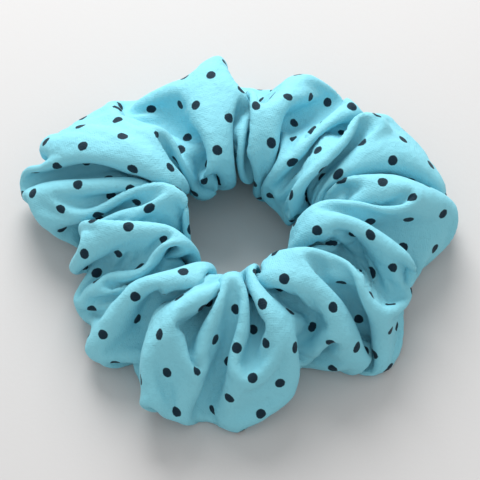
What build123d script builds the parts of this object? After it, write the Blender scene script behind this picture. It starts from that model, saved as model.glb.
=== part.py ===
from build123d import *

import os
from math import cos, pi, radians, sin

# A scrunchie: a tube of light printed cloth, gathered on a closed loop of flat elastic.
#
# Frame: +Z up, with the origin on the surface that the scrunchie lies on, under the middle of its ring.
# All sizes are in millimetres, and each finished piece is written to parts/ as a STEP file.
#
# The cover is a hollow ring. Its wall stands for the gathered cloth, and it is thick on the side of the
# hole, where the pleats are packed against the elastic. The cloth is sewn into a tube by a long seam,
# and the ends of the tube are joined by a closing seam at the back of the ring. Both seams have
# allowances of two plies, which stand into the hollow. The ends of the elastic lap over each other and
# are tacked together. Every row of stitches has two threads, a needle thread and a bobbin thread.

# The relaxed ring, over the tops of its folds
outer_diameter = 110.0
hole_diameter = 28.0
ring_height = 32.0
section_corner = 13.0  # radius that rounds the ring's section
cover_wall = 1.0  # the gathered cloth, smoothed out

# The cloth's seams
cloth_thickness = 0.3
seam_inset = 3.0  # from the outside of the cover to a row of stitches
seam_allowance = 6.0  # from a row of stitches to the cloth's cut edge
stitch_length = 2.7
long_seam_height = 8.0
closing_seam_foot = 14.0  # the closing seam ends at this height, above the long seam's allowance
closing_seam_head = 10.0  # and over the top of the ring, this far in from the rounded corner

# The flat elastic
elastic_width = 6.0
elastic_thickness = 1.0
elastic_inner_diameter = 45.0
elastic_lap = 14.0  # how far its ends lap over each other
lap_gap = 0.05  # between the two layers of the lap

# Threads
thread_diameter = 0.3
thread_gap = 0.03  # between a thread and the cloth or elastic that it lies on
stitch_share = 0.85  # of the stitch length that shows as thread
tack_width = 4.0  # of the zigzag, across the elastic
tack_pitch = 1.1  # along the elastic, from one turn of the zigzag to the next
tack_turns = 9

# Worked out from the sizes above
outer_radius = outer_diameter / 2
hole_radius = hole_diameter / 2
ring_radius = (outer_radius + hole_radius) / 2
section_width = outer_radius - hole_radius
mid_height = ring_height / 2
corner_centre = (outer_radius - section_corner, ring_height - section_corner)
thread_radius = thread_diameter / 2
thread_lift = thread_radius + thread_gap
elastic_inner_radius = elastic_inner_diameter / 2
elastic_pitch = elastic_thickness + lap_gap
gather_radius = elastic_inner_radius - thread_diameter - 2 * thread_gap
back = 90.0  # direction of both joins, in degrees


# ---------------------------------------------------------------- cloth cover
with BuildPart() as fabric_cover:
    with BuildSketch(Plane.XZ):
        with Locations((ring_radius, mid_height)):
            RectangleRounded(section_width, ring_height, section_corner)
    revolve(axis=Axis.Z)

    # the hollow, which stops at the packed pleats and leaves the long seam's allowance standing
    with BuildSketch(Plane.XZ):
        with Locations((ring_radius, mid_height)):
            RectangleRounded(
                section_width - 2 * cover_wall,
                ring_height - 2 * cover_wall,
                section_corner - cover_wall,
            )
        with Locations((gather_radius, mid_height)):
            Rectangle(section_width, ring_height, align=(Align.MAX, Align.CENTER), mode=Mode.SUBTRACT)
        with Locations((outer_radius, long_seam_height)):
            Rectangle(2 * (seam_inset + seam_allowance), 2 * cloth_thickness, mode=Mode.SUBTRACT)
    revolve(axis=Axis.Z, mode=Mode.SUBTRACT)

    # the closing seam's allowance, which follows the cover over its upper outer corner
    with BuildSketch(Plane.YZ):
        with Locations((ring_radius, mid_height)):
            RectangleRounded(
                section_width - cover_wall,
                ring_height - cover_wall,
                section_corner - cover_wall / 2,
            )
            RectangleRounded(
                section_width - 2 * (seam_inset + seam_allowance),
                ring_height - 2 * (seam_inset + seam_allowance),
                section_corner - seam_inset - seam_allowance,
                mode=Mode.SUBTRACT,
            )
        with Locations((corner_centre[0] - closing_seam_head, closing_seam_foot)):
            Rectangle(outer_radius, ring_height, align=(Align.MIN, Align.MIN), mode=Mode.INTERSECT)
    extrude(amount=cloth_thickness, both=True)
fabric_cover.part.label = "fabric_cover"


# --------------------------------------------------------------- elastic loop
# Two half turns about centres half a pitch apart make one turn of a spiral. The lap is the arc after it.
lap_angle = 360 * elastic_lap / (pi * elastic_inner_diameter)
lap_start = back - lap_angle / 2
first_radius = elastic_inner_radius + elastic_thickness / 2
second_centre = (elastic_pitch / 2 * cos(radians(lap_start)), elastic_pitch / 2 * sin(radians(lap_start)))

with BuildPart() as elastic_band:
    with BuildSketch(Plane.XY.offset(mid_height - elastic_width / 2)):
        with BuildLine():
            CenterArc((0, 0), first_radius, lap_start, 180)
            CenterArc(second_centre, first_radius + elastic_pitch / 2, lap_start + 180, 180)
            CenterArc((0, 0), first_radius + elastic_pitch, lap_start, lap_angle)
        trace(line_width=elastic_thickness)
    extrude(amount=elastic_width)
elastic_band.part.label = "elastic_band"


# ------------------------------------------------------------ the lap's threads
def tack_thread(radius):
    """A zigzag of thread across the middle of the lap, on a cylinder of that radius."""
    points = []
    for turn in range(tack_turns):
        angle = radians(back) + (turn - (tack_turns - 1) / 2) * tack_pitch / radius
        side = tack_width / 2 if turn % 2 else -tack_width / 2
        points.append((radius * cos(angle), radius * sin(angle), mid_height + side))
    with BuildPart() as thread:
        with BuildLine() as zigzag:
            Polyline(*points)
        with BuildSketch(Plane(origin=zigzag.line @ 0, z_dir=zigzag.line % 0)):
            Circle(thread_radius)
        sweep(transition=Transition.ROUND)
    return thread


elastic_tack_needle_thread = tack_thread(
    elastic_inner_radius + elastic_pitch + elastic_thickness + thread_lift
)
elastic_tack_needle_thread.part.label = "elastic_tack_needle_thread"

elastic_tack_bobbin_thread = tack_thread(elastic_inner_radius - thread_lift)
elastic_tack_bobbin_thread.part.label = "elastic_tack_bobbin_thread"


# --------------------------------------------------------- the cover's threads
def seam_thread(row):
    """Straight stitches along a row, each a little shorter than its share of the row."""
    stitches = round(row.length / stitch_length)
    pitch = row.length / stitches
    middles = [(stitch + 0.5) / stitches for stitch in range(stitches)]
    with BuildPart() as thread:
        with Locations(*row.locations(middles)):
            Cylinder(thread_radius, stitch_share * pitch)
    return thread


def long_seam_row(height):
    """A circle at that height, on a face of the long seam's allowance."""
    with BuildLine(Plane.XY.offset(height)) as row:
        CenterArc((0, 0), outer_radius - seam_inset, 0, 360)
    return row.wire()


def closing_seam_row(side):
    """A line over the cover's upper outer corner, on a face of the closing seam's allowance."""
    with BuildLine(Plane.YZ.offset(side)) as row:
        Line(
            (corner_centre[0] - closing_seam_head, ring_height - seam_inset),
            (corner_centre[0], ring_height - seam_inset),
        )
        CenterArc(corner_centre, section_corner - seam_inset, 0, 90)
        Line((outer_radius - seam_inset, corner_centre[1]), (outer_radius - seam_inset, closing_seam_foot))
    return row.wire()


seam_lift = cloth_thickness + thread_lift

long_seam_needle_thread = seam_thread(long_seam_row(long_seam_height + seam_lift))
long_seam_needle_thread.part.label = "long_seam_needle_thread"

long_seam_bobbin_thread = seam_thread(long_seam_row(long_seam_height - seam_lift))
long_seam_bobbin_thread.part.label = "long_seam_bobbin_thread"

closing_seam_needle_thread = seam_thread(closing_seam_row(seam_lift))
closing_seam_needle_thread.part.label = "closing_seam_needle_thread"

closing_seam_bobbin_thread = seam_thread(closing_seam_row(-seam_lift))
closing_seam_bobbin_thread.part.label = "closing_seam_bobbin_thread"


# ------------------------------------------------------------------------ files
pieces = [
    fabric_cover,
    elastic_band,
    elastic_tack_needle_thread,
    elastic_tack_bobbin_thread,
    long_seam_needle_thread,
    long_seam_bobbin_thread,
    closing_seam_needle_thread,
    closing_seam_bobbin_thread,
]
os.makedirs("parts", exist_ok=True)
for piece in pieces:
    export_step(piece.part, f"parts/{piece.part.label}.step")
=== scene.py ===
"""A scrunchie: a printed cotton tube, gathered by simulation on a loop of braided elastic."""

from math import cos, pi, radians, sin

import bpy
import numpy as np
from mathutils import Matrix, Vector
from mathutils.kdtree import KDTree


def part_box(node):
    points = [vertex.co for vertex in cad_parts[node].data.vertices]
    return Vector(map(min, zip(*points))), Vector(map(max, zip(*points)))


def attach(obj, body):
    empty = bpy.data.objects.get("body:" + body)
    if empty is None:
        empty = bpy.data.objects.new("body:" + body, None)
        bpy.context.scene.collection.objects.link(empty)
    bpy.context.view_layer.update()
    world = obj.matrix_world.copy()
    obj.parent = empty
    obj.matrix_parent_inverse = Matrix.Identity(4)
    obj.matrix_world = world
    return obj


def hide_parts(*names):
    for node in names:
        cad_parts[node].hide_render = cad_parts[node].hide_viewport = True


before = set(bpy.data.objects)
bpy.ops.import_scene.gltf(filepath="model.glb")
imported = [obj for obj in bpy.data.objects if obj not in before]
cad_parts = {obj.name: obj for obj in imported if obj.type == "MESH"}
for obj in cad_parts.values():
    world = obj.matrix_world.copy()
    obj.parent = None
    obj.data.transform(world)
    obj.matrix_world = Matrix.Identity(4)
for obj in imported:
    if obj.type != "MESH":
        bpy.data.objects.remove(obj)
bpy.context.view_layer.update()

# Everything below is worked out in millimetres, and turned into metres when a mesh is made. Only the
# camera, the lights and the bumps are in metres.
MM = 0.001

# The cover is one piece of cloth, sewn into a tube by a long seam and into a ring by a closing seam
CLOTH_LENGTH = 500.0  # of the sewn tube, round the ring
CLOTH_GIRTH = 92.0  # round the tube
CLOTH_THICKNESS = 0.3
SEAM_ALLOWANCE = 6.0
LONG_SEAM_PLACE = 0.625  # share of the way round the tube, from the middle of the side of the hole
STITCH_LENGTH = 2.7
STITCH_SHARE = 0.85  # of the stitch length that shows as thread
THREAD_DIAMETER = 0.3

# How deep below the middle of the cloth the seams' plies and threads lie, inside the tube
BOBBIN_DEPTH = 0.375
PLY_DEPTHS = (0.75, 1.1)
NEEDLE_DEPTH = 1.42
STITCH_BOW = 0.05  # of a stitch's middle, away from the plies
STITCH_POINTS = 7  # along each stitch
SEAM_DEPTH = NEEDLE_DEPTH + THREAD_DIAMETER / 2 + STITCH_BOW
SEAM_CLEARANCE = CLOTH_THICKNESS / 2 + 0.1  # from the seam's inmost thread to the cloth across the tube
SEAM_REACH = SEAM_ALLOWANCE + 2.0  # from a seam, over its allowance

# The elastic, as its CAD piece has it: its ends lap at the back of the ring
ELASTIC_WIDTH = 6.0
ELASTIC_THICKNESS = 1.0
LAP_LENGTH = 14.0
LAP_GAP = 0.05
BACK = 90.0  # direction of the lap and of the closing seam, in degrees

elastic_low, elastic_high = [np.array(corner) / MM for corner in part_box("elastic_band")]
ELASTIC_HEIGHT = (elastic_low[2] + elastic_high[2]) / 2
ELASTIC_INNER_RADIUS = elastic_high[1] - 2 * ELASTIC_THICKNESS - LAP_GAP

# To the cloth, the elastic is an upright band with a round edge, and with room for the lap and its tack
BAND_RADIUS = ELASTIC_INNER_RADIUS + ELASTIC_THICKNESS + LAP_GAP / 2
BAND_HALF_WIDTH = ELASTIC_WIDTH / 2 - 0.9
BAND_CLEARANCE = ELASTIC_THICKNESS + LAP_GAP / 2 + THREAD_DIAMETER + CLOTH_THICKNESS / 2 + 0.15

# The folds, counter-clockwise from the back of the ring. Each is a ridge that runs from a nose at the hole,
# over a crest, to the rim, with a crease after it. First come its part of the cloth's length and how hard it
# puffs, and then the angle, radius and height of its nose, crest and rim. Two places of the crease follow,
# level with the crests and with the rims, and how firmly the crease is pressed down to that place.
FOLDS = [
    (14, 0.3, (82, 15, 12), (86, 26, 20), (87, 41, 14), (93, 29, 17, 0), (93, 46, 8, 0)),
    (38, 1.5, (99, 15, 18), (102, 32, 28), (102, 47, 21), (113, 30, 17, 0), (123, 46, 8, 0)),
    (16, 0.5, (135, 16, 12), (125, 26, 20), (131, 45, 14), (131, 32, 17, 0), (134, 49, 8, 0)),
    (38, 1.8, (165, 15, 22), (153, 38, 30), (153, 60, 16), (154, 30, 18, 0), (161, 58, 10, 1)),
    (20, 0.7, (175, 15, 20), (167, 29, 26), (167, 58, 12), (164, 31, 18, 0), (175, 49, 6, 0)),
    (14, 0.7, (184, 14, 20), (168, 25, 25), (176, 45, 9), (165, 29, 17, 0), (173, 37, 8, 0)),
    (14, 0.7, (197, 12, 20), (182, 20, 27), (184, 35, 17), (188, 29, 20, 0.6), (184, 38, 12, 0.6)),
    (30, 1.1, (231, 15, 20), (196, 28, 29), (191, 44, 12), (207, 29, 17, 0.6), (198, 38, 8, 0.6)),
    (14, 0.6, (223, 17, 16), (206, 38, 18), (201, 45, 5), (212, 33, 17, 0.6), (209, 42, 4, 0.6)),
    (26, 1.0, (247, 19, 26), (223, 35, 25), (220, 50, 6), (230, 29, 17, 0.6), (231, 41, 5, 0.6)),
    (24, 1.0, (261, 24, 25), (236, 40, 26), (241, 48, 4), (252, 32, 17, 0), (247, 46, 4, 0)),
    (18, 0.8, (266, 26, 24), (256, 40, 21), (253, 52, 5), (265, 30, 17, 0), (260, 40, 9, 0)),
    (20, 0.9, (269, 25, 24), (269, 38, 21), (268, 49, 5), (277, 30, 17, 0), (281, 37, 8, 0)),
    (24, 1.0, (274, 23, 26), (289, 34, 26), (289, 40, 6), (300, 29, 17, 0.6), (299, 34, 5, 0.6)),
    (34, 1.1, (289, 18, 27), (310, 32, 27), (312, 47, 5), (326, 30, 17, 0), (318, 45, 5, 0)),
    (22, 0.8, (321, 21, 24), (321, 40, 25), (318, 51, 4), (343, 34, 11, 1), (339, 43, 6, 1)),
    (30, 1.8, (328, 18, 22), (345, 28, 30), (341, 45, 16), (358, 33, 17, 0), (350, 43, 10, 0)),
    (38, 1.5, (360, 25, 22), (365, 39, 28), (366, 56, 14), (380, 34, 17, 0.6), (376, 53, 9, 0.6)),
    (30, 1.0, (372, 18, 16), (383, 40, 28), (380, 56, 14), (399, 29, 17, 0), (400, 45, 10, 0)),
    (16, 0.8, (378, 15, 24), (394, 28, 28), (398, 45, 18), (411, 29, 17, 0), (407, 43, 11, 0)),
    (22, 0.8, (423, 12, 12), (409, 27, 26), (407, 46, 16), (426, 29, 17, 0.6), (417, 49, 9, 0.6)),
    (32, 1.0, (435, 14, 13), (429, 30, 28), (430, 46, 20), (441, 29, 17, 0), (444, 45, 10, 0)),
]

# The loose tube, before it is gathered
TUBE_FLATNESS = 0.3  # of its section
TUBE_RIPPLE = 2.5  # of the folds to come, outwards
RIPPLE_RISE = 0.8  # of that ripple, upwards

# How the cloth moves, in millimetres a step or as shares
GRAVITY = 0.002
TUBE_PRESSURE = 0.001
MOTION_KEPT = 0.9
TOP_SPEED = 0.25
SHEAR_STIFFNESS = 0.3
PAIRS_EVERY = 6  # steps from one search for close pairs to the next
PAIRS_MARGIN = 1.0  # beyond the room that the cloth keeps, where a pair may come close before the next search

# Half the room that the cloth keeps to itself, which is wider over the folded seam allowances
COARSE_PADDING = 0.8
FINE_PADDING = 0.5
SEAM_PADDING = 0.8
SEAM_PADDING_MARGIN = 1.5

# How the folds are dressed
PUFF = 0.01  # of a ridge, each step
VALLEY_PUFF = -0.9  # of a crease, beside the folds' own
PULL = 0.2  # share of the way to its place that a fold is pulled each step
PULL_REACH = 2.5  # of each pull, along the ring
PULL_ROUND = 1.5  # of that reach, round the tube
PULL_LIMIT = 8.0  # of the way that counts
PULL_SPREAD = 2.4  # in reaches, of the points that a pull is worked out for
PULL_CUT = 6.0  # beyond the square root of this, in reaches, a pull is nothing
LEAST_PUFFED = 0.3  # share of the puff at the hole and at the rim
NOSE_PLACE = 9.0  # round the tube, from the middle of the side of the hole
CREST_SLACK = 1.03  # cloth for each millimetre from a nose to its crest
RIM_SLACK = 1.05  # and from there to its rim
LAST_RIM_PLACE = CLOTH_GIRTH / 2 + 6

# The stages: the coarse cloth is gathered and takes shape, and then the fine cloth settles
COARSE_SHAPE = (256, 48)
GATHER_STEPS = 600
SHAPE_STEPS = 150
SETTLE_STEPS = 80
HELD_SHARE = 0.8  # of the settling, while the folds are still held

# The room round the ring, and how wide it is before the elastic is gathered
HOLE_RADIUS = 13.0
HOLE_EASE = 0.3  # share of the way that cloth in the hole is eased out each step
WALL_EASE = 0.1
CEILING_EASE = 0.3
CEILING = 31
WALL = 56
WIDE_BAND_RADIUS = CLOTH_LENGTH / (2 * pi) - 4.5
WIDE_FLOOR = -10
WIDE_CEILING = 40
WIDE_WALL = 88
OUT_OF_REACH = 99

# Linear colours
TURQUOISE = (0.212, 0.58, 0.69)
PALE_TURQUOISE = (0.242, 0.63, 0.74)
DOT_BLUE = (0.002, 0.02, 0.036)
THREAD_TURQUOISE = (0.09, 0.36, 0.46)
# The thread's painted shade in the grooves of its twist, and its painted highlight on the plies
THREAD_GROOVE_SHADE = (0.07, 0.30, 0.40)
THREAD_PLY_HIGHLIGHT = (0.11, 0.40, 0.50)
ELASTIC_WHITE = (0.82, 0.82, 0.79)
DEEP_ELASTIC = (0.74, 0.74, 0.71)
PALE_ELASTIC = (0.86, 0.86, 0.83)
PAPER_GREY = (0.578, 0.57, 0.567)

# The print and the weave, in the flat cloth's millimetres
PRINT_REPEAT = 13.4  # each way. Its second dot is half a repeat on, each way.
DOT_RADIUS = 1.28
DOT_BLUR = 0.12  # each side of a dot's edge
WEAVE_PITCH = 0.36


# ------------------------------------------------------------------------------ meshes
def new_object(name, points, faces):
    """A smooth mesh object from points in millimetres and faces, all of one length."""
    mesh = bpy.data.meshes.new(name)
    faces = np.asarray(faces)
    mesh.vertices.add(len(points))
    mesh.vertices.foreach_set("co", (np.asarray(points) * MM).reshape(-1))
    mesh.loops.add(faces.size)
    mesh.loops.foreach_set("vertex_index", faces.reshape(-1))
    mesh.polygons.add(len(faces))
    mesh.polygons.foreach_set("loop_start", np.arange(0, faces.size, faces.shape[1]))
    mesh.polygons.foreach_set("use_smooth", np.full(len(faces), True))
    mesh.update(calc_edges=True)
    mesh.validate()
    piece = bpy.data.objects.new(name, mesh)
    bpy.context.scene.collection.objects.link(piece)
    return piece


def grid_faces(rows, columns, wrap_rows=True, first=0):
    """Quads between neighbours in a grid of points, whose columns wrap round."""
    index = first + np.arange(rows * columns).reshape(rows, columns)
    if wrap_rows:
        index = np.concatenate([index, index[:1]])
    index = np.concatenate([index, index[:, :1]], axis=1)
    corners = (index[:-1, :-1], index[:-1, 1:], index[1:, 1:], index[1:, :-1])
    return np.stack(corners, axis=-1).reshape(-1, 4)


# -------------------------------------------------------------------------- cloth solver
# The cover is a grid of points X[u, v] that wraps both ways. u runs round the ring, counter-clockwise from
# the closing seam. v runs round the tube, from the side of the hole over the top, the rim and underneath.
def unit(arrows):
    """The arrows at length one, and their lengths."""
    lengths = np.sqrt((arrows * arrows).sum(-1, keepdims=True))
    return arrows / np.maximum(lengths, 1e-6), lengths


def normals(X):
    """Outward normals of the grid."""
    along = np.roll(X, -1, 0) - np.roll(X, 1, 0)
    around = np.roll(X, -1, 1) - np.roll(X, 1, 1)
    return unit(np.cross(around, along))[0]


def relax(X, axis, step, rest, stiffness):
    """Bring points that are a step apart along an axis towards their rest distance."""
    count = X.shape[axis]
    for shift in (0, step):
        Y = np.roll(X, -shift, axis)
        if axis == 0:
            blocks = Y.reshape(count // (2 * step), 2, step, X.shape[1], 3)
            first, second = blocks[:, 0], blocks[:, 1]
        else:
            blocks = Y.reshape(X.shape[0], count // (2 * step), 2, step, 3)
            first, second = blocks[:, :, 0], blocks[:, :, 1]
        direction, length = unit(second - first)
        move = 0.5 * stiffness * (length - rest) * direction
        first += move
        second -= move
        X = np.roll(Y, shift, axis)
    return X


def shear(X, side, rest, stiffness):
    """Bring the ends of each cell's diagonal towards their rest distance."""
    direction, length = unit(np.roll(X, (-1, -side), (0, 1)) - X)
    move = 0.25 * stiffness * (length - rest) * direction
    return X + move - np.roll(move, (1, side), (0, 1))


def pairs_in_near_cells(points, reach):
    """Every pair of points whose cells, cubes as wide as the reach, are the same or touch."""
    cell = np.floor((points - points.min(0)) / reach).astype(np.int64) + 1
    size = cell.max(0) + 2
    key = (cell[:, 0] * size[1] + cell[:, 1]) * size[2] + cell[:, 2]
    order = np.argsort(key, kind="stable")
    key = key[order]
    count = np.bincount(key, minlength=int(size.prod()))
    start = np.cumsum(count) - count
    place = np.arange(len(points))
    steps = [(a, b, c) for a in (-1, 0, 1) for b in (-1, 0, 1) for c in (-1, 0, 1)]
    firsts = []
    seconds = []
    for a, b, c in steps[steps.index((0, 0, 0)) :]:
        other = key + (a * size[1] + b) * size[2] + c
        begin = start[other]
        number = count[other]
        if (a, b, c) == (0, 0, 0):
            number = begin + number - place - 1
            begin = place + 1
        first = np.repeat(place, number)
        second = np.arange(number.sum()) - np.repeat(np.cumsum(number) - number - begin, number)
        firsts.append(order[first])
        seconds.append(order[second])
    return np.concatenate(firsts), np.concatenate(seconds)


def close_pairs(points, shape, reach):
    """Pairs of points within reach of each other that aren't neighbours in the grid."""
    first, second = pairs_in_near_cells(points, reach)
    rows, columns = shape
    across = np.abs(first // columns - second // columns)
    around = np.abs(first % columns - second % columns)
    across = np.minimum(across, rows - across)
    around = np.minimum(around, columns - around)
    near = ((points[first] - points[second]) ** 2).sum(1) < reach * reach
    keep = near & ((across > 1) | (around > 1))
    return first[keep], second[keep]


def push_apart(points, pairs, padding):
    """Move pairs apart that are closer than the sum of their paddings."""
    first, second = pairs
    apart = points[first] - points[second]
    square = (apart * apart).sum(1)
    gap = padding[first] + padding[second]
    hit = square < gap * gap
    first, second, apart, gap = first[hit], second[hit], apart[hit], gap[hit]
    length = np.sqrt(square[hit])
    move = (0.5 * (gap - length) / np.maximum(length, 1e-4))[:, None] * apart
    count = len(points)
    hits = np.bincount(first, minlength=count) + np.bincount(second, minlength=count)
    share = 1 / np.sqrt(np.maximum(hits, 1))
    for axis in range(3):
        total = np.bincount(first, move[:, axis], count) - np.bincount(second, move[:, axis], count)
        points[:, axis] += total * share


def double(X):
    """The same surface with twice the points each way, by cubic interpolation."""
    for axis in (0, 1):
        near = X + np.roll(X, -1, axis)
        far = np.roll(X, 1, axis) + np.roll(X, -2, axis)
        shape = list(X.shape)
        shape[axis] *= 2
        X = np.stack([X, (9 * near - far) / 16], axis=axis + 1).reshape(shape)
    return X


class Room:
    """What the cloth may not pass: the floor, the elastic in it, and hands that shape it softly."""

    def __init__(self, band_radius, floor, ceiling, wall):
        self.band_radius = band_radius
        self.floor = floor
        self.ceiling = ceiling
        self.wall = wall

    def close_in(self, gathered):
        """Shrink to where that share of the gathering is done."""
        self.band_radius = WIDE_BAND_RADIUS + (BAND_RADIUS - WIDE_BAND_RADIUS) * gathered
        self.floor = WIDE_FLOOR * (1 - gathered)
        self.ceiling = WIDE_CEILING + (CEILING - WIDE_CEILING) * gathered
        self.wall = WIDE_WALL + (WALL - WIDE_WALL) * gathered

    def shape(self, X):
        """Ease the cloth out of the hole, in from the wall and down from the ceiling."""
        radius = np.hypot(X[..., 0], X[..., 1])[..., None]
        X[..., :2] *= 1 + HOLE_EASE * np.maximum(0, HOLE_RADIUS - radius) / radius
        X[..., :2] *= 1 - WALL_EASE * np.maximum(0, radius - self.wall) / radius
        X[..., 2] -= CEILING_EASE * np.maximum(0, X[..., 2] - self.ceiling)

    def keep_out_of_band(self, X):
        """Push the cloth off the elastic."""
        radius = np.hypot(X[..., 0], X[..., 1])
        out = radius - self.band_radius
        up = X[..., 2] - ELASTIC_HEIGHT
        up -= np.clip(up, -BAND_HALF_WIDTH, BAND_HALF_WIDTH)
        distance = np.hypot(out, up)
        near = distance < BAND_CLEARANCE
        push = (BAND_CLEARANCE - distance[near]) / np.maximum(distance[near], 1e-6)
        X[near, :2] *= (1 + out[near] * push / radius[near])[:, None]
        X[near, 2] += up[near] * push


class Cloth:
    """The grid in motion. Each step is a small move, put right by the cloth's own stiffness."""

    def __init__(self, X, padding, bend, far_bend, pressure=0):
        self.X = X.copy()
        self.last = X.copy()
        self.padding = np.broadcast_to(padding, X.shape[:2]).reshape(-1)
        self.bend = bend
        self.far_bend = far_bend
        self.pressure = pressure
        self.along = CLOTH_LENGTH / X.shape[0]
        self.around = CLOTH_GIRTH / X.shape[1]
        self.steps = 0
        self.pairs = None

    def carry_in(self, distance):
        """Move the whole cloth towards the axis of the ring."""
        for grid in (self.X, self.last):
            grid[..., :2] *= 1 - distance / np.hypot(grid[..., 0], grid[..., 1])[..., None]

    def step(self, room, hands=None):
        """Move on in that room, with or without hands on the folds."""
        move = (self.X - self.last) * MOTION_KEPT
        speed = np.sqrt((move * move).sum(-1, keepdims=True))
        move *= np.minimum(1, TOP_SPEED / np.maximum(speed, 1e-9))
        self.last = self.X.copy()
        X = self.X + move
        X[..., 2] -= GRAVITY
        if self.pressure:
            X = X + self.pressure * normals(X)
        if hands:
            X = hands.pull(X)
        room.shape(X)
        for reach, stiffness in ((2, self.bend), (4, self.far_bend)):
            X = relax(X, 0, reach, reach * self.along, stiffness)
            X = relax(X, 1, reach, reach * self.around, stiffness)
        diagonal = np.hypot(self.along, self.around)
        X = shear(X, 1, diagonal, SHEAR_STIFFNESS)
        X = shear(X, -1, diagonal, SHEAR_STIFFNESS)
        X = relax(X, 0, 1, self.along, 1)
        X = relax(X, 1, 1, self.around, 1)
        room.keep_out_of_band(X)
        points = X.reshape(-1, 3)
        if self.steps % PAIRS_EVERY == 0:
            self.pairs = close_pairs(points, X.shape[:2], 2 * self.padding.max() + PAIRS_MARGIN)
        push_apart(points, self.pairs, self.padding)
        X[..., 2] = np.maximum(X[..., 2], room.floor)
        self.X = X
        self.steps += 1


# ---------------------------------------------------------------------------- gathering
class Folds:
    """Where each place of a fold or crease sits in the cloth, and where it belongs on the ring."""

    def __init__(self):
        parts = np.array([fold[0] for fold in FOLDS], float)
        edges = np.concatenate([[0], np.cumsum(parts)]) / parts.sum()
        self.ridge = (edges[:-1] + edges[1:]) / 2
        self.valley = edges[1:]
        self.puff = np.array([fold[1] for fold in FOLDS])
        ridges = np.array([[place + (1,) for place in fold[2:5]] for fold in FOLDS], float)
        creases = np.array([fold[5:] for fold in FOLDS], float)
        places = np.concatenate([ridges, creases], axis=1)
        self.angle = np.radians(places[..., 0])
        self.radius = places[..., 1]
        self.height = places[..., 2]
        self.firmness = places[..., 3]
        self.turn = np.mean(self.angle[:, 1] - 2 * pi * self.ridge)
        self.along = np.stack([self.ridge] * 3 + [self.valley] * 2, axis=1)

        points = self.places(1, 0)[:, :3]
        spans = np.linalg.norm(np.diff(points, axis=1), axis=2)
        crest = NOSE_PLACE + CREST_SLACK * spans[:, 0]
        rim = np.minimum(crest + RIM_SLACK * spans[:, 1], LAST_RIM_PLACE)
        nose = np.full(len(FOLDS), NOSE_PLACE)
        crease = [(place + np.roll(place, -1)) / 2 for place in (crest, rim)]
        self.around = np.stack([nose, crest, rim] + crease, axis=1) / CLOTH_GIRTH

    def places(self, gathered, further_out):
        """Where every place belongs, when that share of the gathering is done."""
        even = 2 * pi * self.along + self.turn
        angle = even * (1 - gathered) + self.angle * gathered
        radius = self.radius + further_out
        return np.stack([radius * np.cos(angle), radius * np.sin(angle), self.height], axis=-1)

    def wave(self, count):
        """How much each row of points lies in a ridge, or below zero in a crease."""
        knots = np.concatenate([self.ridge, self.valley % 1])
        values = np.concatenate([self.puff, np.full(len(FOLDS), VALLEY_PUFF)])
        order = np.argsort(knots)
        knots = np.concatenate([knots[order] - 1, knots[order], knots[order] + 1])
        values = np.tile(values[order], 3)
        place = np.arange(count) / count
        left = np.searchsorted(knots, place, side="right") - 1
        share = 0.5 - 0.5 * np.cos(pi * (place - knots[left]) / (knots[left + 1] - knots[left]))
        return values[left] * (1 - share) + values[left + 1] * share


class Hands:
    """Pulls each fold to its place and puffs it, as a person who dresses the scrunchie does."""

    def __init__(self, folds, shape):
        rows, columns = shape
        self.folds = folds
        self.gathered = 1
        self.further_out = 0
        self.wave = folds.wave(rows)[:, None, None]
        side = np.abs(np.sin(2 * pi * np.arange(columns) / columns))
        self.puffed = (LEAST_PUFFED + (1 - LEAST_PUFFED) * side)[None, :, None]
        self.firmness = folds.firmness.reshape(-1, 1)
        u = folds.along.reshape(-1) * rows
        v = folds.around.reshape(-1) * columns
        reach_u = PULL_REACH / CLOTH_LENGTH * rows
        reach_v = PULL_ROUND * PULL_REACH / CLOTH_GIRTH * columns
        i = np.rint(u).astype(int)[:, None, None] + self.steps_within(reach_u)[None, :, None]
        j = np.rint(v).astype(int)[:, None, None] + self.steps_within(reach_v)[None, None, :]
        far = ((i - u[:, None, None]) / reach_u) ** 2 + ((j - v[:, None, None]) / reach_v) ** 2
        self.weight = np.exp(-0.5 * far) * (far < PULL_CUT)
        self.i = (i + 0 * j) % rows
        self.j = (j + 0 * i) % columns
        self.middle = (np.rint(u).astype(int) % rows, np.rint(v).astype(int) % columns)

    @staticmethod
    def steps_within(reach):
        """The steps of the grid, each way, over which a pull fades out."""
        last = int(PULL_SPREAD * reach) + 1
        return np.arange(-last, last + 1)

    def pull(self, X):
        """Puff the ridges, sink the creases, and pull every place of the folds to where it belongs.

        At first a place is only pulled round the ring, and out, in, up and down as the gathering ends.
        """
        X = X + PUFF * self.wave * self.puffed * normals(X)
        here = X[self.middle]
        arrow = self.folds.places(self.gathered, self.further_out).reshape(-1, 3) - here
        outward = unit(here[:, :2])[0]
        outward_part = (arrow[:, :2] * outward).sum(1, keepdims=True) * outward
        freedom = self.gathered ** 1.5 * self.firmness
        arrow[:, :2] -= (1 - freedom) * outward_part
        arrow[:, 2:] *= freedom
        length = unit(arrow)[1]
        arrow *= np.minimum(1, PULL_LIMIT / np.maximum(length, 1e-6))
        np.add.at(X, (self.i, self.j), PULL * self.weight[..., None] * arrow[:, None, None, :])
        return X


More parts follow.
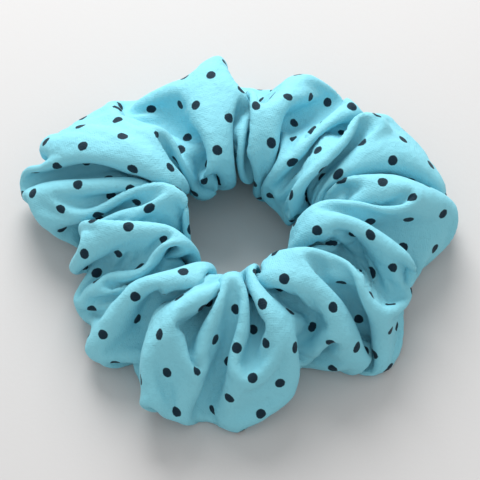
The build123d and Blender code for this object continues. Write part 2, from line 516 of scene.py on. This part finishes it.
def loose_tube(folds, shape):
    """The sewn tube before it is gathered: a wavy upright belt round the wide elastic."""
    rows, columns = shape
    turn = np.linspace(0, 2 * pi, 4001)
    section = np.stack([-TUBE_FLATNESS * np.cos(turn), np.sin(turn)], axis=1)
    travelled = np.concatenate([[0], np.cumsum(np.linalg.norm(np.diff(section, axis=0), axis=1))])
    section *= CLOTH_GIRTH / travelled[-1]
    place = np.arange(columns) / columns
    out = np.interp(place, travelled / travelled[-1], section[:, 0])
    up = np.interp(place, travelled / travelled[-1], section[:, 1])
    angle = 2 * pi * np.arange(rows) / rows + folds.turn
    ripple = TUBE_RIPPLE * folds.wave(rows)[:, None]
    radius = CLOTH_LENGTH / (2 * pi) + out + ripple * (0.5 - 0.5 * np.cos(2 * pi * place))
    height = ELASTIC_HEIGHT + up + RIPPLE_RISE * ripple * np.sin(2 * pi * place)
    return np.stack([radius * np.cos(angle)[:, None], radius * np.sin(angle)[:, None], height], -1)


def seam_padding(shape):
    """Half the room that each point of the fine cloth keeps to itself."""
    rows, columns = shape
    u = np.arange(rows) * CLOTH_LENGTH / rows
    v = (np.arange(columns) / columns - LONG_SEAM_PLACE) % 1 * CLOTH_GIRTH
    padding = np.full(shape, FINE_PADDING)
    padding[u < SEAM_ALLOWANCE + SEAM_PADDING_MARGIN] = SEAM_PADDING
    padding[:, v < SEAM_ALLOWANCE + SEAM_PADDING_MARGIN] = SEAM_PADDING
    return padding


def gather_cloth():
    """Shrink the elastic inside the loose tube, dress the folds, and let the cloth settle."""
    folds = Folds()
    hands = Hands(folds, COARSE_SHAPE)
    tube = loose_tube(folds, COARSE_SHAPE)
    coarse = Cloth(tube, COARSE_PADDING, bend=0.06, far_bend=0.06, pressure=TUBE_PRESSURE)
    room = Room(WIDE_BAND_RADIUS, WIDE_FLOOR, WIDE_CEILING, WIDE_WALL)
    for step in range(GATHER_STEPS + SHAPE_STEPS):
        hands.gathered = min(1, step / GATHER_STEPS)
        last_radius = room.band_radius
        room.close_in(hands.gathered)
        hands.further_out = room.band_radius - BAND_RADIUS
        coarse.carry_in(last_radius - room.band_radius)
        coarse.step(room, hands)

    X = double(coarse.X)
    shape = X.shape[:2]
    fine = Cloth(X, seam_padding(shape), bend=0.15, far_bend=0.05)
    hands = Hands(folds, shape)
    room = Room(BAND_RADIUS, floor=0, ceiling=OUT_OF_REACH, wall=OUT_OF_REACH)
    for step in range(SETTLE_STEPS):
        held = step < HELD_SHARE * SETTLE_STEPS
        fine.step(room, hands if held else None)
    return fine.X


# ---------------------------------------------------------------------------- the cover
def seam_relief(distance):
    """How far the cloth swells over a seam's folded allowances and sinks at its stitches."""
    swell = 0.1 * (distance > 0.5) * (distance < SEAM_ALLOWANCE)
    sink = 0.2 * np.exp(-((distance / 0.7) ** 2))
    return swell - sink


def dress_seams(X):
    """Sink the two seams into the cloth. v now starts at the long seam, at the foot of the rim."""
    X = np.roll(X, -round(LONG_SEAM_PLACE * X.shape[1]), axis=1)
    rows, columns = X.shape[:2]
    u = np.arange(rows) * CLOTH_LENGTH / rows
    v = np.arange(columns) * CLOTH_GIRTH / columns
    u_signed = (u + CLOTH_LENGTH / 2) % CLOTH_LENGTH - CLOTH_LENGTH / 2
    v_signed = (v + CLOTH_GIRTH / 2) % CLOTH_GIRTH - CLOTH_GIRTH / 2
    pucker = 1 + 0.5 * np.cos(2 * pi * u / (2 * STITCH_LENGTH))
    relief = seam_relief(v_signed)[None, :] * pucker[:, None] + seam_relief(u_signed)[:, None]
    X = X + relief[..., None] * normals(X)
    X[..., 2] = np.maximum(X[..., 2], CLOTH_THICKNESS)
    return X


def make_cover(X):
    """The cloth tube as a wall of real thickness, with its print laid out in a UV map in millimetres."""
    rows, columns = X.shape[:2]
    out = normals(X) * CLOTH_THICKNESS / 2
    points = np.concatenate([(X + out).reshape(-1, 3), (X - out).reshape(-1, 3)])
    outside = grid_faces(rows, columns)
    inside = grid_faces(rows, columns, first=rows * columns)[:, ::-1]
    cover = new_object("cotton_cover", points, np.concatenate([outside, inside]))
    row, column = np.divmod(np.arange(rows * columns), columns)
    u = np.stack([row, row, row + 1, row + 1], axis=1) * CLOTH_LENGTH / rows
    v = np.stack([column, column + 1, column + 1, column], axis=1) * CLOTH_GIRTH / columns
    flat = np.stack([u, v], axis=-1)
    layout = cover.data.uv_layers.new(name="cloth")
    layout.data.foreach_set("uv", np.concatenate([flat, flat[:, ::-1]]).reshape(-1))
    cover.data.materials.append(cotton_material())
    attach(cover, "root")
    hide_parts("fabric_cover")
    return cover


def into_tube(X):
    """Arrows into the tube, a millimetre long but shorter where it is too flat for a seam's plies."""
    rows, columns = X.shape[:2]
    out = normals(X)
    tree = KDTree(rows * columns)
    for index, point in enumerate(X.reshape(-1, 3)):
        tree.insert(point, index)
    tree.balance()
    length = np.ones((rows, columns))
    near_seam = np.zeros((rows, columns), bool)
    near_seam[: round(SEAM_REACH / CLOTH_LENGTH * rows)] = True
    near_seam[:, : round(SEAM_REACH / CLOTH_GIRTH * columns)] = True
    for row, column in np.argwhere(near_seam):
        for trial in (1, 0.8, 0.6, 0.4, 0.2):
            length[row, column] = trial
            inner = X[row, column] - trial * SEAM_DEPTH * out[row, column]
            other = divmod(tree.find(inner)[1], columns)
            if (X[other] - inner) @ out[other] > SEAM_CLEARANCE:
                break
    for axis in (0, 1):
        length = np.minimum(length, np.minimum(np.roll(length, 1, axis), np.roll(length, -1, axis)))
    for axis in (0, 1):
        length = (np.roll(length, 1, axis) + 2 * length + np.roll(length, -1, axis)) / 4
    return -length[..., None] * out


def make_allowances(X, into):
    """The plies of both seam allowances, pressed flat against the inside of the cloth."""
    rows, columns = X.shape[:2]
    turned = (1, 0, 2)
    seams = (
        (X, into, CLOTH_GIRTH / columns, 1),
        (X.transpose(turned), into.transpose(turned), CLOTH_LENGTH / rows, -1),
    )
    points = []
    faces = []
    first = 0
    for cloth, inward, spacing, winding in seams:
        width = round(SEAM_ALLOWANCE / spacing) + 1
        for depth in PLY_DEPTHS:
            top = cloth[:, :width] + (depth - CLOTH_THICKNESS / 2) * inward[:, :width]
            bottom = cloth[:, :width] + (depth + CLOTH_THICKNESS / 2) * inward[:, :width]
            ply = np.concatenate([top, bottom[:, ::-1]], axis=1)
            points.append(ply.reshape(-1, 3))
            faces.append(grid_faces(len(ply), 2 * width, first=first)[:, ::winding])
            first += len(points[-1])
    allowances = new_object("seam_allowances", np.concatenate(points), np.concatenate(faces))
    allowances.data.materials.append(plain_cotton_material())
    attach(allowances, "root")
    return allowances


# ------------------------------------------------------------------------------ threads
def thread_mesh(name, runs):
    """Short stitches of round thread, each a line through its middle and the arrows away from the cloth."""
    sides = 6
    tip_share = 0.3  # of the thread's girth, at the ends of a stitch
    turn = 2 * pi * np.arange(sides) / sides
    points = []
    faces = []
    first = 0
    for line, away in runs:
        ahead = unit(np.gradient(line, axis=0))[0]
        beside = unit(np.cross(ahead, away))[0]
        above = np.cross(beside, ahead)
        girth = np.full(len(line), THREAD_DIAMETER / 2)
        girth[[0, -1]] *= tip_share
        ring = np.cos(turn)[None, :, None] * above[:, None] + np.sin(turn)[None, :, None] * beside[:, None]
        rings = line[:, None] + girth[:, None, None] * ring
        quads = grid_faces(len(line), sides, wrap_rows=False, first=first)[:, ::-1]
        start = [first + side for side in range(sides)]
        end = [first + (len(line) - 1) * sides + side for side in range(sides)]
        caps = [start[:4], [start[0], start[3], start[4], start[5]]]
        caps += [end[3::-1], [end[5], end[4], end[3], end[0]]]
        points.append(rings.reshape(-1, 3))
        faces += [quads, np.array(caps)]
        first += len(line) * sides
    return new_object(name, np.concatenate(points), np.concatenate(faces))


def seam_runs(seam, into, length, depth, bow):
    """Stitches along a closed seam, at a depth below the cloth, bowed away from it by the bow."""
    count = round(length / STITCH_LENGTH)
    steps = np.linspace(0, 1, STITCH_POINTS)
    grid = np.arange(len(seam) + 1)
    closed = np.concatenate([seam, seam[:1]])
    closed_into = np.concatenate([into, into[:1]])
    runs = []
    for stitch in range(count):
        place = (stitch + 0.5 + STITCH_SHARE * (steps - 0.5)) / count * len(seam)
        middle = np.stack([np.interp(place, grid, closed[:, axis]) for axis in range(3)], axis=1)
        away = np.stack([np.interp(place, grid, closed_into[:, axis]) for axis in range(3)], axis=1)
        lift = depth + bow * np.sin(pi * steps)[:, None]
        runs.append((middle + lift * away, away))
    return runs


def make_threads(X, into):
    """Needle and bobbin threads of both seams, just inside the seam lines, and the finish of the tack's."""
    finish = thread_material()
    threads = []
    for seam_name, line, line_into, length in (
        ("long_seam", X[:, 1], into[:, 1], CLOTH_LENGTH),
        ("closing_seam", X[1], into[1], CLOTH_GIRTH),
    ):
        for side, depth, bow in (("needle", NEEDLE_DEPTH, STITCH_BOW), ("bobbin", BOBBIN_DEPTH, -STITCH_BOW)):
            runs = seam_runs(line, line_into, length, depth, bow)
            thread = thread_mesh(f"{seam_name}_{side}_stitches", runs)
            thread.data.materials.append(finish)
            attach(thread, "root")
            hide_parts(f"{seam_name}_{side}_thread")
            threads.append(thread)
    for node in ("elastic_tack_needle_thread", "elastic_tack_bobbin_thread"):
        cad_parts[node].material_slots[0].material = finish
    return threads


# ------------------------------------------------------------------------------ elastic
def make_elastic():
    """Braided elastic: a flat band of ribs, each twisted the other way, on a spiral with a lap."""
    ribs = 8
    rib_height = 0.08
    twist = 1.3  # from one strand of a rib to the next
    edge_share = 0.55  # of the thickness, at the edges
    strand_relief = 0.3  # share of a rib's height
    sections = 420  # along the spiral
    across = np.linspace(-1, 1, 4 * ribs + 1)
    face = np.stack([across * ELASTIC_WIDTH / 2, np.full(len(across), ELASTIC_THICKNESS / 2)], axis=1)
    section = np.concatenate([face, -face])
    is_edge = np.abs(np.abs(section[:, 0]) - ELASTIC_WIDTH / 2) < 1e-6
    section[is_edge, 1] *= edge_share

    centre_radius = ELASTIC_INNER_RADIUS + ELASTIC_THICKNESS / 2
    pitch = ELASTIC_THICKNESS + LAP_GAP
    lap_angle = LAP_LENGTH / centre_radius
    turned = np.linspace(0, 2 * pi + lap_angle, sections)
    angle = radians(BACK) - lap_angle / 2 + turned
    travelled = turned * centre_radius

    rib = (section[:, 0] / ELASTIC_WIDTH + 0.5) * ribs
    lean = np.where(np.floor(rib) % 2 == 0, 1, -1)
    strand = np.sin(2 * pi * (travelled[:, None] / twist + lean * rib))
    rib_relief = rib_height * np.abs(np.sin(pi * rib))[None, :]
    relief = rib_relief * (1 - strand_relief + strand_relief * strand) - rib_height
    out = section[:, 1] + np.sign(section[:, 1]) * relief
    radius = centre_radius + pitch * turned[:, None] / (2 * pi) + out
    height = np.broadcast_to(ELASTIC_HEIGHT + section[:, 0], radius.shape)
    points = np.stack([radius * np.cos(angle)[:, None], radius * np.sin(angle)[:, None], height], axis=-1)

    columns = len(section)
    faces = [grid_faces(len(turned), columns, wrap_rows=False)]
    for first, winding in ((0, 1), ((len(turned) - 1) * columns, -1)):
        end = [(k, k + 1, columns - 2 - k, columns - 1 - k) for k in range(columns // 2 - 1)]
        faces.append(first + np.array(end)[:, ::winding])
    elastic = new_object("braided_elastic", points.reshape(-1, 3), np.concatenate(faces))
    elastic.data.materials.append(elastic_material())
    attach(elastic, "root")
    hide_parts("elastic_band")
    return elastic


# ---------------------------------------------------------------------------- materials
def new_material(name, colour, roughness, sheen=0.0):
    """A material's tree and shader, with its plain values set on the shader itself."""
    material = bpy.data.materials.new(name)
    material.use_nodes = True
    shader = material.node_tree.nodes["Principled BSDF"]
    shader.inputs["Base Color"].default_value = (*colour, 1)
    shader.inputs["Roughness"].default_value = roughness
    shader.inputs["Sheen Weight"].default_value = sheen
    return material, material.node_tree, shader


def add_node(tree, kind, inputs=(), **settings):
    """A node with its settings. An input is a value, or the socket that feeds it."""
    node = tree.nodes.new(kind)
    for name, value in settings.items():
        setattr(node, name, value)
    for key, value in dict(inputs).items():
        if isinstance(value, bpy.types.NodeSocket):
            tree.links.new(value, node.inputs[key])
        else:
            node.inputs[key].default_value = value
    return node


def calculate(tree, operation, *values):
    """The result of a Math node."""
    return add_node(tree, "ShaderNodeMath", enumerate(values), operation=operation).outputs[0]


def mix(tree, share, first, second):
    """A colour between two, by share. A Mix node has its sockets for colours at these numbers."""
    inputs = {0: share, 6: first, 7: second}
    return add_node(tree, "ShaderNodeMix", inputs, data_type="RGBA").outputs[2]


def noise(tree, vector, scale, detail=2.0):
    """A noise texture's value."""
    inputs = {"Vector": vector, "Scale": scale, "Detail": detail}
    return add_node(tree, "ShaderNodeTexNoise", inputs).outputs["Fac"]


def bump(tree, height, distance, normal=None):
    """A bump's normal, on top of another where one is given."""
    inputs = {"Height": height, "Distance": distance, "Strength": 1.0}
    if normal is not None:
        inputs["Normal"] = normal
    return add_node(tree, "ShaderNodeBump", inputs).outputs["Normal"]


def place_on_object(tree):
    """A point's place in the object's own coordinates, in metres."""
    return add_node(tree, "ShaderNodeTexCoord").outputs["Object"]


def weave_height(tree, u, v):
    """The height of a plain weave: threads over and under each other, in flat cloth coordinates."""
    turn = pi / WEAVE_PITCH
    warp = calculate(tree, "SINE", calculate(tree, "MULTIPLY", u, turn))
    weft = calculate(tree, "SINE", calculate(tree, "MULTIPLY", v, turn))
    return calculate(tree, "MULTIPLY", warp, weft)


def dot_share(tree, flat, u, v):
    """One in the print's dots and zero between them, with a soft and slightly ragged edge."""
    distances = []
    for shift in (0.25, 0.75):
        offsets = []
        for place in (u, v):
            repeats = calculate(tree, "ADD", calculate(tree, "DIVIDE", place, PRINT_REPEAT), shift)
            offsets.append(calculate(tree, "SUBTRACT", calculate(tree, "FRACT", repeats), 0.5))
        across = calculate(tree, "MULTIPLY", offsets[0], offsets[0])
        distances.append(calculate(tree, "MULTIPLY_ADD", offsets[1], offsets[1], across))
    nearest = calculate(tree, "SQRT", calculate(tree, "MINIMUM", *distances))
    ragged = calculate(tree, "MULTIPLY_ADD", noise(tree, flat, 1.6), 0.3, -0.15)
    inputs = {
        "Value": calculate(tree, "MULTIPLY_ADD", nearest, PRINT_REPEAT, ragged),
        "From Min": DOT_RADIUS - DOT_BLUR,
        "From Max": DOT_RADIUS + DOT_BLUR,
        "To Min": 1.0,
        "To Max": 0.0,
    }
    return add_node(tree, "ShaderNodeMapRange", inputs, interpolation_type="SMOOTHSTEP").outputs["Result"]


def cotton_material():
    """Turquoise plain-weave cotton with staggered dark dots."""
    material, tree, shader = new_material("printed_cotton", TURQUOISE, 0.7, sheen=0.06)
    flat = add_node(tree, "ShaderNodeUVMap", uv_map="cloth").outputs["UV"]
    parts = add_node(tree, "ShaderNodeSeparateXYZ", {"Vector": flat})
    u, v = parts.outputs["X"], parts.outputs["Y"]

    ground = mix(tree, noise(tree, flat, 0.12, 3.0), (*TURQUOISE, 1), (*PALE_TURQUOISE, 1))
    colour = mix(tree, dot_share(tree, flat, u, v), ground, (*DOT_BLUE, 1))
    tree.links.new(colour, shader.inputs["Base Color"])

    shader.inputs["Sheen Roughness"].default_value = 0.5
    shader.inputs["Sheen Tint"].default_value = (0.85, 0.97, 1.0, 1)
    shader.inputs["Specular IOR Level"].default_value = 0.2
    crumple = bump(tree, noise(tree, flat, 0.35, 4.0), 0.0006)
    fuzz = bump(tree, noise(tree, flat, 2.2, 3.0), 0.00015, crumple)
    weave = bump(tree, weave_height(tree, u, v), 0.00002, fuzz)
    tree.links.new(weave, shader.inputs["Normal"])
    return material


def plain_cotton_material():
    """The wrong side of the same cloth, for the seam allowances."""
    material, tree, shader = new_material("cotton_wrong_side", PALE_TURQUOISE, 0.9)
    place = place_on_object(tree)
    colour = mix(tree, noise(tree, place, 300.0, 3.0), (*TURQUOISE, 1), (*PALE_TURQUOISE, 1))
    tree.links.new(colour, shader.inputs["Base Color"])
    tree.links.new(bump(tree, noise(tree, place, 2500.0), 0.00005), shader.inputs["Normal"])
    return material


def thread_material():
    """Polyester thread, a deeper turquoise than the cloth, with the twist of its plies as a bump. Its colour
    has painted shade in the twist's grooves and a painted highlight on the plies.
    """
    material, tree, shader = new_material("sewing_thread", THREAD_TURQUOISE, 0.5, sheen=0.2)
    inputs = {"Vector": place_on_object(tree), "Scale": 1500.0, "Distortion": 1.0}
    twist = add_node(tree, "ShaderNodeTexWave", inputs, bands_direction="DIAGONAL").outputs["Fac"]
    # Painted shade where the twist's bump is low and painted highlight where it is high, from the same wave
    colour = mix(tree, twist, (*THREAD_GROOVE_SHADE, 1), (*THREAD_PLY_HIGHLIGHT, 1))
    tree.links.new(colour, shader.inputs["Base Color"])
    tree.links.new(bump(tree, twist, 0.00003), shader.inputs["Normal"])
    return material


def elastic_material():
    """White braided polyester over rubber."""
    material, tree, shader = new_material("white_elastic", ELASTIC_WHITE, 0.6, sheen=0.15)
    fibre = noise(tree, place_on_object(tree), 1200.0, 3.0)
    colour = mix(tree, fibre, (*DEEP_ELASTIC, 1), (*PALE_ELASTIC, 1))
    tree.links.new(colour, shader.inputs["Base Color"])
    tree.links.new(bump(tree, fibre, 0.00005), shader.inputs["Normal"])
    return material


def paper_material():
    """Plain pale studio paper."""
    material, tree, shader = new_material("pale_paper", PAPER_GREY, 0.9)
    grain = noise(tree, place_on_object(tree), 900.0, 3.0)
    tree.links.new(bump(tree, grain, 0.00002), shader.inputs["Normal"])
    shader.inputs["Specular IOR Level"].default_value = 0.1
    return material


# --------------------------------------------------------------------- camera and stage
def aim(thing, target):
    """Turn a camera or a light to look at a point."""
    thing.rotation_euler = (Vector(target) - thing.location).to_track_quat("-Z", "Y").to_euler()


def make_camera():
    """A long lens, 60 degrees above the floor, on the scrunchie's front."""
    target = Vector((0, 0, 0.009))
    distance = 0.6
    elevation = radians(60)
    view_width = 0.1215  # of the picture, at the target
    lens = bpy.data.cameras.new("camera")
    camera = bpy.data.objects.new("camera", lens)
    bpy.context.scene.collection.objects.link(camera)
    camera.location = target + distance * Vector((0, -cos(elevation), sin(elevation)))
    aim(camera, target)
    lens.sensor_width = 36
    lens.lens = lens.sensor_width * distance / view_width
    bpy.context.scene.camera = camera


def make_lights():
    """A soft window behind and a little to the left, and the light of a pale room."""
    window = bpy.data.lights.new("window", "AREA")
    window.shape = "DISK"
    window.size = 0.45
    window.energy = 4.6
    lamp = bpy.data.objects.new("window", window)
    bpy.context.scene.collection.objects.link(lamp)
    lamp.location = (-0.06, 0.48, 0.40)
    aim(lamp, (0, 0, 0))

    world = bpy.data.worlds.new("room")
    world.use_nodes = True
    background = world.node_tree.nodes["Background"]
    background.inputs["Color"].default_value = (1.0, 1.0, 1.0, 1)
    background.inputs["Strength"].default_value = 0.72
    bpy.context.scene.world = world
    bpy.context.scene.view_settings.view_transform = "Standard"


def make_floor():
    """A pale sheet of paper, much larger than the view."""
    half = 1500.0
    corners = np.array([(-half, -half, 0), (half, -half, 0), (half, half, 0), (-half, half, 0)])
    floor = new_object("floor", corners, [(0, 1, 2, 3)])
    floor.data.materials.append(paper_material())


# ----------------------------------------------------------------------------- assembly
make_camera()
make_lights()
make_floor()

cloth_grid = dress_seams(gather_cloth())
into = into_tube(cloth_grid)
elastic = make_elastic()
cover = make_cover(cloth_grid)
allowances = make_allowances(cloth_grid, into)
threads = make_threads(cloth_grid, into)
